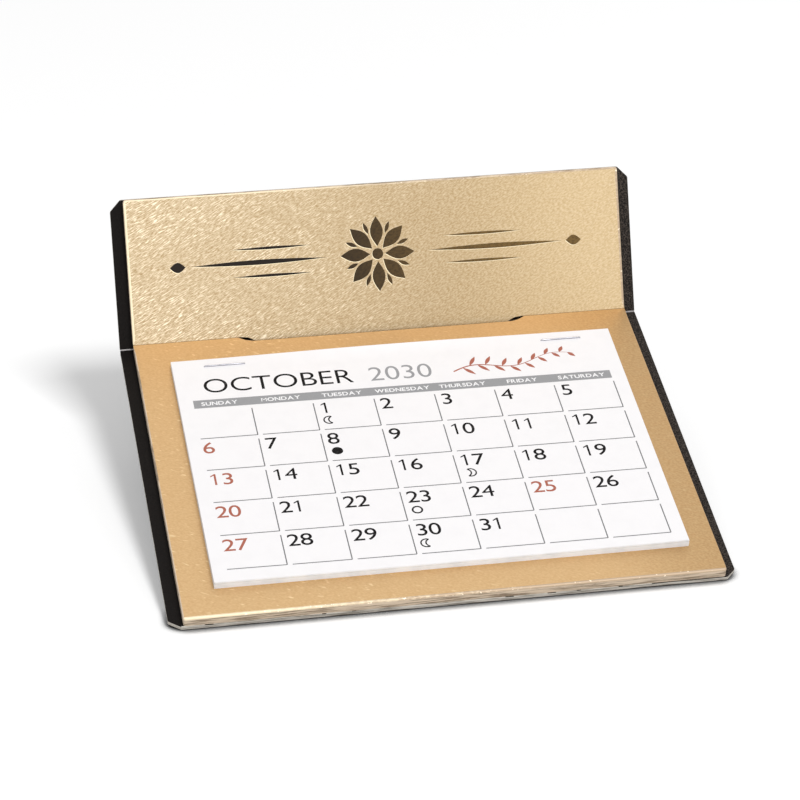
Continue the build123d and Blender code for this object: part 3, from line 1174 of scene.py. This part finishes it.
def weekday_band(inks):
    """Grey band with the weekdays in white."""
    sizes = settings("print")
    middle = -(sizes.band_top + sizes.band_height / 2)
    right = sizes.column_start + len(WEEKDAYS) * sizes.column_width
    inks["grey"].append(
        straight((sizes.band_left, middle), (right, middle), sizes.band_height, sizes.cell_gap))
    base = middle - sizes.weekday_height / 2
    for day, name in enumerate(WEEKDAYS):
        place = sizes.column_start + (day + 0.5) * sizes.column_width
        word = bold_word(name, sizes.weekday_weight)
        inks["white"].append(
            set_type(word, sizes.weekday_height, place, base, sizes.weekday_stretch, anchor=0.5))


def week_cells(inks, week):
    """Rules of one week's seven cells."""
    sizes = settings("print")
    upper = -(sizes.row_start + week * sizes.row_height)
    lower = upper - sizes.row_height
    for day in range(len(WEEKDAYS)):
        right = sizes.column_start + (day + 1) * sizes.column_width
        left = right - sizes.column_width + sizes.cell_gap
        for start in ((left, lower), (right, upper - sizes.rule_gap)):
            inks["rule"].append(straight(start, (right, lower), sizes.rule_width, sizes.cell_gap))


def page_dates(inks, number):
    """Dates of a page, a sixth week's below the fifth's, and the front sheet's moon signs."""
    sizes = settings("print")
    for week, dates in enumerate(WEEK.monthdayscalendar(*month_of(number))):
        row = min(week, sizes.week_rows - 1)
        upper = -(sizes.row_start + row * sizes.row_height)
        base = upper - sizes.date_drop - sizes.date_height * (1 if week == row else sizes.sixth_week_drop)
        for day, date in enumerate(dates):
            if date == 0:
                continue
            left = sizes.column_start + day * sizes.column_width + sizes.cell_gap + sizes.date_indent
            marked = day == 0 or (number == 1 and date == sizes.marked_day)
            inks["red" if marked else "black"].append(
                set_type(figures(date, sizes.date_weight), sizes.date_height, left, base, sizes.date_stretch,
                         anchor=None))
            if number == 1 and date in FRONT_MOONS:
                middle = (left + sizes.moon_indent, upper - sizes.moon_drop)
                inks["black"].append(moon_sign(FRONT_MOONS[date], middle))


def month_page(number):
    """Print of one sheet by ink, in page places: X from the pad's left edge, Y up from its rear edge."""
    inks = {ink: [] for ink in INKS}
    page_title(inks, *month_of(number))
    weekday_band(inks)
    for week in range(settings("print").week_rows):
        week_cells(inks, week)
    page_dates(inks, number)
    if number == 1:
        inks["red"] += sprig()
    return {ink: joined(flats) for ink, flats in inks.items()}


def on_page(flat):
    """Page places as places on the platform, with the print's lines dropping slightly to the right."""
    drop = math.tan(settings("print").skew)
    x, y = flat[0][:, 0], flat[0][:, 1]
    return np.column_stack([PAD_LOW.x + x, PAD_HIGH.y + y - x * drop]), flat[1]


# Operators

class CALENDAR_OT_gold_boards(bpy.types.Operator):
    """Header and platform faces: chipboard with pressed gold foil."""
    bl_idname = "calendar.gold_boards"
    bl_label = "Gold boards"

    def execute(self, context):
        sizes, colours = settings("boards"), settings("colours")
        cut_edge = cut_edge_material("chipboard edge", CHIPBOARD_PLIES, colours.chipboard,
                                     colours.chipboard_dark)
        header_right = right_half("header_foil", HEADER)
        reach = header_right[-1][0]
        header_right.insert(1, hollow_point(*header_right[:2], sizes.notch_hollow))
        low, high = span_of("platform_foil", PLATFORM)
        corners = right_half("platform_foil", PLATFORM)
        recess, flare, rear = [corner for corner in corners if corner[1] > PAD_HIGH.y]
        recess = recess[0], recess[1] - sizes.notch_room
        hollow = hollow_point(flare, recess, -sizes.notch_hollow)
        platform_right = [(high.x, low.y), rear, flare, hollow, recess]
        by_fold = [sizes.fold_radius] * (len(header_right) - 1)
        # On the header the side edges and a line inside every outer edge carry the painted edge highlight;
        # on the platform the front edge does
        for name, axes, right_side, radii, fold_edge, outer_roll, finishes, rub in (
                ("header", HEADER, header_right, [*by_fold, sizes.top_radius], header_right[0][1],
                 sizes.top_roll, (CUT, PAINTED_HIGHLIGHT, PAINTED_HIGHLIGHT), PAINTED_HIGHLIGHT),
                ("platform", PLATFORM, platform_right, [sizes.front_radius, *by_fold], high.y,
                 sizes.front_roll, (PAINTED_HIGHLIGHT, CUT, FOIL), FOIL)):
            loop = rounded_loop(right_side, radii, sizes.edge_step)
            rings = gold_rings(high.z, edge_roll(loop, fold_edge, outer_roll),
                               edge_finish(loop, fold_edge, *finishes), rub)
            materials = [foil_material(name, reach), worn_gold_material(name, reach), cut_edge]
            piece = ringed_board(name + "_gold_board", loop, rings, axes, materials, (CUT, FOIL))
            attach(piece, name)
            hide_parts(name + "_core", name + "_foil")
        return {"FINISHED"}


class CALENDAR_OT_black_boards(bpy.types.Operator):
    """Black boards behind both faces, with the riser and its window."""
    bl_idname = "calendar.black_boards"
    bl_label = "Black boards"

    def execute(self, context):
        sizes, colours = settings("boards"), settings("colours")
        paper = black_paper_material()
        low, high = span_of("header_backing", HEADER)
        riser = right_half("header_foil", HEADER)[0][0]
        header_corners = corners_of("header_backing", HEADER)
        header_corner = max(y for x, y, _ in header_corners if x > high.x - NEAR)
        header_tip = max(x for x, y, _ in header_corners if y > high.y - NEAR)
        header_right = [
            (riser, low.y - sizes.riser_overrun), (riser, 0), (high.x, 0), (high.x, header_corner),
            (header_tip, high.y),
        ]
        platform_low, platform_high = span_of("platform_backing", PLATFORM)
        platform_corners = corners_of("platform_backing", PLATFORM)
        platform_corner = min(y for x, y, _ in platform_corners if x > platform_high.x - NEAR)
        platform_tip = max(x for x, y, _ in platform_corners if y < platform_low.y + NEAR)
        window = riser + sizes.slot_width
        window_end = -CREASE.z / math.sin(HEADER.to_euler().x) - sizes.window_clearance
        platform_right = [
            (platform_tip, platform_low.y), (platform_high.x, platform_corner), (platform_high.x, 0),
            (window, 0), (window, window_end),
        ]
        for name, axes, right_side, along in (("header", HEADER, header_right, (0, 1, 0)),
                                              ("platform", PLATFORM, platform_right, (0, 0, 1))):
            loop = rounded_loop(right_side, [sizes.black_corner_radius] * len(right_side), sizes.edge_step)
            edge = cut_edge_material(name + " black board edge", BLACK_BOARD_PLIES, colours.board_core,
                                     colours.board_core_dark, axes.to_euler().x)
            worn = loop[:, 1] > high.y - NEAR
            if name == "platform":
                worn = (loop[:, 1] < platform_low.y + NEAR) & (loop[:, 0] < sizes.skin_kept * platform_tip)
                worn &= roughness_along(loop, 0, sizes.skin_grain) < sizes.skin_worn
            rings = black_rings(high.z - low.z, np.where(worn, CORE, SKIN))
            piece = ringed_board(name + "_black_board", loop, rings, axes, [paper, edge], (SKIN, SKIN))
            if name == "platform":
                self.narrow_front_right(piece, platform_low.y, platform_tip, platform_high.x)
            stand_on_desk(piece, along)
            piece.data.transform(axes)
            piece.matrix_world = Matrix.Identity(4)
            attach(piece, name)
            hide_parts(name + "_backing")
        return {"FINISHED"}

    def narrow_front_right(self, piece, front, inner, outer):
        """Pulls the right border in towards the front, as the board was laid on."""
        taper = settings("boards").border_taper
        for vertex in piece.data.vertices:
            across = min(1, max(0, (vertex.co.x - inner) / (outer - inner)))
            vertex.co.x -= taper * across * vertex.co.y / front


class CALENDAR_OT_crease(bpy.types.Operator):
    """Scuffed skin in the crease on either side of the riser."""
    bl_idname = "calendar.crease"
    bl_label = "Scuffed crease"
    points_across = 13
    points_along = 41

    def execute(self, context):
        sizes = settings("boards")
        material = scuffed_material()
        inner = right_half("header_foil", HEADER)[0][0] + sizes.slot_width / 2
        outer = span_of("header_backing", HEADER)[1].x - sizes.skin_radius
        start, end = on_platform(-sizes.crease_reach, 0), HEADER @ Vector((0, sizes.crease_reach, 0))
        out = ((PLATFORM.to_3x3() @ Vector((0, 0, 1))) + (HEADER.to_3x3() @ Vector((0, 0, 1)))).normalized()
        parts = np.linspace(0, 1, self.points_across)
        across = [start.lerp(CREASE, part).lerp(CREASE.lerp(end, part), part) for part in parts]
        profile = [point + out * sizes.crease_skin * sizes.crease_rise for point in across]
        profile += [point - out * sizes.crease_skin * (1 - sizes.crease_rise) for point in reversed(across)]
        count = len(profile)
        places = np.linspace(inner, outer, self.points_along)
        for side, sign in (("left", -1), ("right", 1)):
            vertices = [(sign * x, point.y, point.z) for x in places for point in profile]
            faces = [range(count), range(len(vertices) - 1, len(vertices) - count - 1, -1)]
            for row in range(len(places) - 1):
                for here in range(count):
                    low, there = row * count, (here + 1) % count
                    faces.append((low + there, low + here, low + count + here, low + count + there))
            if sign < 0:
                faces = [tuple(reversed(face)) for face in faces]
            piece = add_piece("crease_skin_" + side, vertices, faces, Matrix.Identity(4), [material])
            piece.data.shade_smooth()
            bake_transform(piece)
        return {"FINISHED"}


class CALENDAR_OT_month_sheets(bpy.types.Operator):
    """Thirteen month sheets, bound along their rear edges."""
    bl_idname = "calendar.month_sheets"
    bl_label = "Month sheets"

    def execute(self, context):
        sizes = settings("pad")
        colours = settings("colours")
        # The edge paper's blue tint is painted to cancel light bounced from the gold
        materials = [paper_material("white paper", colours.paper, colours.paper_shade),
                     paper_material("paper edge", colours.paper_edge, colours.paper_edge_shade)]
        crease, strip_end = crease_of(1), crease_of(1) - sizes.strip_bend
        strip = np.concatenate([np.linspace(strip_end, crease, sizes.strip_rows),
                                np.linspace(crease, PAD_HIGH.y, sizes.strip_rows)[1:]])
        self.sheet("front_sheet_strip", 1, strip, materials, "pad_bound_edge", ("platform", SHEETS[1]),
                   crease, strip_end)
        for number, sheet in enumerate(SHEETS, start=1):
            body, crease, rear = "platform", crease_of(number), PAD_HIGH.y
            if number == 1:
                body, crease, rear = SHEETS[1], strip_end, strip_end
            self.sheet("month_" + sheet, number, sheet_places(crease, rear), materials, sheet, (body, sheet),
                       crease, crease - sizes.bend_length)
        return {"FINISHED"}

    def sheet(self, name, number, places, materials, replaced, bodies, bend_start, bend_end):
        """Mesh piece for one sheet or strip; its bodies and the two places of its bend are not used."""
        vertices, faces, finishes = sheet_solid(number, places)
        piece = add_piece(name, vertices, faces, PLATFORM, materials, finishes)
        soften(piece)
        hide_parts(replaced)
        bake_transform(piece)


class CALENDAR_OT_page_print(bpy.types.Operator):
    """Month, weekdays, dates and rules on the sheets that show."""
    bl_idname = "calendar.page_print"
    bl_label = "Page print"

    def execute(self, context):
        sizes, colours = settings("print"), settings("colours")
        layer = sizes.ink_thickness
        materials = {ink: ink_material(ink + " ink", getattr(colours, "ink_" + ink)) for ink in INKS}
        for number, sheet in enumerate(SHEETS[:sizes.printed_sheets], start=1):
            for ink, flat in month_page(number).items():
                # White lies on the grey band, in two layers
                lift, thickness = (layer, 2 * layer) if ink == "white" else (0.0, layer)

                def level(x, y):
                    return top_of(number) + curl(number, x, y) + lift

                solid = thickened(on_page(flat), level, thickness)
                piece = add_piece(f"{sheet}_{ink}_print", *solid, PLATFORM, [materials[ink]])
                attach(piece, sheet)
        return {"FINISHED"}


class CALENDAR_OT_header_stamp(bpy.types.Operator):
    """Plain rosette and rules stamped into the header's foil."""
    bl_idname = "calendar.header_stamp"
    bl_label = "Header stamp"

    def execute(self, context):
        sizes, colours = settings("stamp"), settings("colours")
        middle = np.array((0.0, sizes.rise))
        points, faces = joined(self.rosette(sizes, middle) + self.rules(sizes, middle))
        face = span_of("header_foil", HEADER)[1].z

        def level(x, y):
            return np.full(len(x), face - sizes.thickness / 2)

        film = stamp_material("stamped film", colours.stamp_dark, colours.stamp_gold)
        # A lighter copy of the film, shifted left and down, paints a highlight beside it
        rim = stamp_material("painted stamp highlight", colours.stamp_rim, colours.stamp_rim)
        for name, shift, thickness, material in (
                ("header_stamp", 0.0, sizes.thickness, film),
                ("header_stamp_highlight", sizes.rim, sizes.thickness * sizes.rim_height, rim)):
            solid = thickened((points - shift, faces), level, thickness)
            piece = add_piece(name, *solid, HEADER, [material])
            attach(piece, "header")
        return {"FINISHED"}

    def rosette(self, sizes, middle):
        """Round middle with petals about it, and a drop between every two of them."""
        radius, pitch = sizes.rosette_radius, 2 * math.pi / sizes.petals
        flats = [disc(middle, sizes.rosette_eye)]
        for petal in range(sizes.petals):
            turn = petal * pitch
            flats.append(spoke(middle, turn, sizes.rosette_eye * sizes.petal_start, radius,
                               sizes.petal_width))
            flats.append(spoke(middle, turn + pitch / 2, radius * sizes.drop_start, radius * sizes.drop_end,
                               sizes.petal_width * sizes.drop_width))
        return flats

    def rules(self, sizes, middle):
        """Three tapered rules on either side, the middle one with a diamond at its end."""
        flats = []
        for side in (-1, 1):
            inner, outer = side * sizes.rule_start, side * sizes.rule_end
            flats.append(spindle(middle + (inner, 0), middle + (outer, 0), sizes.rule_width, count=33))
            for offset in (-sizes.side_rule, sizes.side_rule):
                flats.append(spindle(middle + (inner * sizes.side_rule_start, offset),
                                     middle + (outer * sizes.side_rule_end, offset),
                                     sizes.rule_width * sizes.side_rule_width, count=33))
            tip = middle + (outer + side * sizes.diamond * sizes.diamond_gap, 0)
            flats.append(spindle(tip - (sizes.diamond, 0), tip + (sizes.diamond, 0),
                                 sizes.diamond * sizes.diamond_width))
        return flats


class CALENDAR_OT_staples(bpy.types.Operator):
    """Steel finish of the two staples."""
    bl_idname = "calendar.staples"
    bl_label = "Staples"

    def execute(self, context):
        material = steel_material()
        for side in ("left", "right"):
            staple = frame["nodes"]["staple_" + side]
            staple.data.materials.clear()
            staple.data.materials.append(material)
        return {"FINISHED"}


class CALENDAR_OT_stage(bpy.types.Operator):
    """Floor, even light, two soft lamps and the camera."""
    bl_idname = "calendar.stage"
    bl_label = "Stage"

    def execute(self, context):
        sizes, colours = settings("stage"), settings("colours")
        scene = context.scene
        scene.view_settings.view_transform = "Standard"
        half = sizes.floor_side / 2
        floor = add_piece("floor", [(-half, -half, 0), (half, -half, 0), (half, half, 0), (-half, half, 0)],
                          [(0, 1, 2, 3)], Matrix.Identity(4), [self.floor_material(sizes, colours)])
        self.light_sky(scene, sizes)
        self.hang_lamp("key lamp", sizes.key_place, sizes.key_size, sizes.key_power)
        self.hang_lamp("fill lamp", sizes.fill_place, sizes.fill_size, sizes.fill_power)
        eye = bpy.data.cameras.new("camera")
        eye.sensor_fit = "HORIZONTAL"
        eye.angle = sizes.camera_view
        camera = bpy.data.objects.new("camera", eye)
        camera.location = sizes.camera_place
        camera.rotation_euler = (math.pi / 2 - sizes.camera_pitch, 0, -sizes.camera_yaw)
        scene.collection.objects.link(camera)
        scene.camera = camera
        return {"FINISHED"}

    def floor_material(self, sizes, colours):
        """Pale floor that keeps shadows, with painted contact shade beside what stands on it, and brighter
        to the camera.
        """
        material = bpy.data.materials.new("pale floor")
        tree = bare_tree(material)
        # Painted contact shade: the floor's colour and glow darken where little room is open above it
        open_room = node(tree, "ShaderNodeAmbientOcclusion", {"Distance": sizes.contact_reach}, samples=6)
        clear = ramp(tree, open_room.outputs["AO"], sizes.contact_dark, sizes.contact_clear)
        shaded = mix_colours(tree, clear, colours.contact, colours.floor)
        surface = node(tree, "ShaderNodeBsdfDiffuse", {"Color": shaded})
        seen = product(tree, self.seen_directly(tree), clear)
        glow = node(tree, "ShaderNodeEmission", {"Strength": product(tree, seen, sizes.floor_glow)})
        both = node(tree, "ShaderNodeAddShader", {0: surface.outputs["BSDF"], 1: glow.outputs["Emission"]})
        node(tree, "ShaderNodeOutputMaterial", {"Surface": both.outputs["Shader"]})
        return material

    def seen_directly(self, tree):
        """One for rays from the camera, from gloss or through glass, else nothing."""
        path = node(tree, "ShaderNodeLightPath")
        seen = path.outputs["Is Camera Ray"]
        for ray in ("Is Glossy Ray", "Is Transmission Ray"):
            larger = node(tree, "ShaderNodeMath", {0: seen, 1: path.outputs[ray]}, operation="MAXIMUM")
            seen = larger.outputs["Value"]
        return seen

    def light_sky(self, scene, sizes):
        """White backdrop, and even light at a plain level."""
        world = bpy.data.worlds.new("white room")
        tree = bare_tree(world)
        strength = ramp(tree, self.seen_directly(tree), 0.0, 1.0, sizes.sky, 1.0)
        sky = node(tree, "ShaderNodeBackground", {"Color": (1, 1, 1), "Strength": strength})
        node(tree, "ShaderNodeOutputWorld", {"Surface": sky.outputs["Background"]})
        scene.world = world

    def hang_lamp(self, name, place, side, power):
        """Square soft lamp that looks at the calendar."""
        lamp = bpy.data.lights.new(name, "AREA")
        lamp.size = side
        lamp.energy = power
        hung = bpy.data.objects.new(name, lamp)
        hung.location = place
        hung.rotation_euler = (-Vector(place)).to_track_quat("-Z", "Y").to_euler()
        bpy.context.scene.collection.objects.link(hung)


class CALENDAR_PT_panel(bpy.types.Panel):
    """Sidebar panel with every step of the calendar."""
    bl_idname = "CALENDAR_PT_panel"
    bl_label = "Desk calendar"
    bl_space_type = "VIEW_3D"
    bl_region_type = "UI"
    bl_category = "Calendar"

    def draw(self, context):
        for step in STEPS:
            self.layout.operator(step.bl_idname)
        for group in GROUPS:
            box = self.layout.box()
            box.label(text=group.capitalize())
            for name in GROUPS[group].__annotations__:
                box.prop(settings(group), name)


GROUPS = {"boards": BoardSizes, "pad": PadSizes, "print": PrintSizes, "stamp": StampSizes,
          "stage": StageSizes, "colours": CalendarColours}
STEPS = (CALENDAR_OT_gold_boards, CALENDAR_OT_black_boards, CALENDAR_OT_crease, CALENDAR_OT_month_sheets,
         CALENDAR_OT_page_print, CALENDAR_OT_header_stamp, CALENDAR_OT_staples, CALENDAR_OT_stage)


def register():
    """Adds the classes and the scene's groups of sizes."""
    for group, kind in GROUPS.items():
        bpy.utils.register_class(kind)
        setattr(bpy.types.Scene, "calendar_" + group, PointerProperty(type=kind))
    for kind in (*STEPS, CALENDAR_PT_panel):
        bpy.utils.register_class(kind)


def unregister():
    """Takes the classes and the scene's groups of sizes away again."""
    for kind in (CALENDAR_PT_panel, *reversed(STEPS)):
        bpy.utils.unregister_class(kind)
    for group, kind in reversed(GROUPS.items()):
        delattr(bpy.types.Scene, "calendar_" + group)
        bpy.utils.unregister_class(kind)


def main():
    """Builds the calendar step by step."""
    register()
    for step in STEPS:
        family, name = step.bl_idname.split(".")
        getattr(getattr(bpy.ops, family), name)()


if __name__ == "__main__":
    main()
